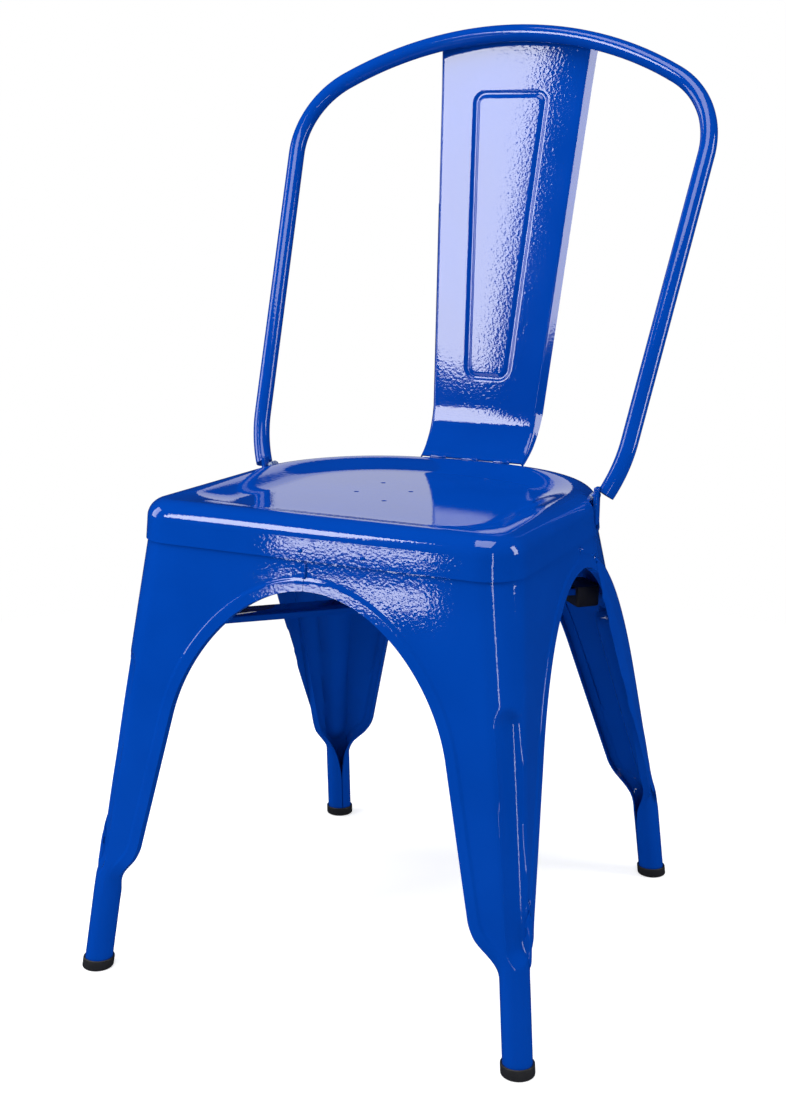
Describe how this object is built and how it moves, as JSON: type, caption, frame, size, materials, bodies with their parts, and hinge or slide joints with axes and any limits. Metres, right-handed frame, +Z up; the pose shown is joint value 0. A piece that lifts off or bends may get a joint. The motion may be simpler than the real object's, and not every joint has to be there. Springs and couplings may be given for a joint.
{
  "type": "bistro chair",
  "caption": "Stackable pressed-metal bistro chair with a dished seat, bent tube back hoop, tapered pressed splat, arched splayed legs, crossed under-seat braces and rubber feet.",
  "frame": {"origin": "on the floor, at the middle of the chair's overall box", "axes": "+Z up, a sitter faces -Y, +X to the right for someone who looks at the chair's front; the YZ plane is the mirror plane"},
  "size_m": [0.4454, 0.4774, 0.8486],
  "materials": {
    "blue_paint": "glossy saturated blue powder coat with a fine orange-peel texture",
    "brushed_weld": "weld bead under thin worn blue paint",
    "black_rubber": "satin black moulded rubber"
  },
  "bodies": {
    "root": {"back_hoop": "blue_paint", "back_splat": "blue_paint", "brace_centre_weld": "blue_paint", "brace_end_welds": "blue_paint", "brace_long": "blue_paint", "brace_short_front": "blue_paint", "brace_short_rear": "blue_paint", "bumper_front_left": "black_rubber", "bumper_front_right": "black_rubber", "bumper_rear_left": "black_rubber", "bumper_rear_right": "black_rubber", "foot_cap_front_left": "black_rubber", "foot_cap_front_right": "black_rubber", "foot_cap_rear_left": "black_rubber", "foot_cap_rear_right": "black_rubber", "front_seam_weld": "blue_paint", "hoop_weld_left": "brushed_weld", "hoop_weld_right": "brushed_weld", "leg_front_left": "blue_paint", "leg_front_right": "blue_paint", "leg_rear_left": "blue_paint", "leg_rear_right": "blue_paint", "rear_seam_weld": "blue_paint", "seat_pan": "blue_paint", "seat_spot_welds": "blue_paint", "side_seam_weld_left": "blue_paint", "side_seam_weld_right": "blue_paint", "splat_foot_weld": "blue_paint", "splat_top_weld": "blue_paint"}
  },
  "joints": []
}
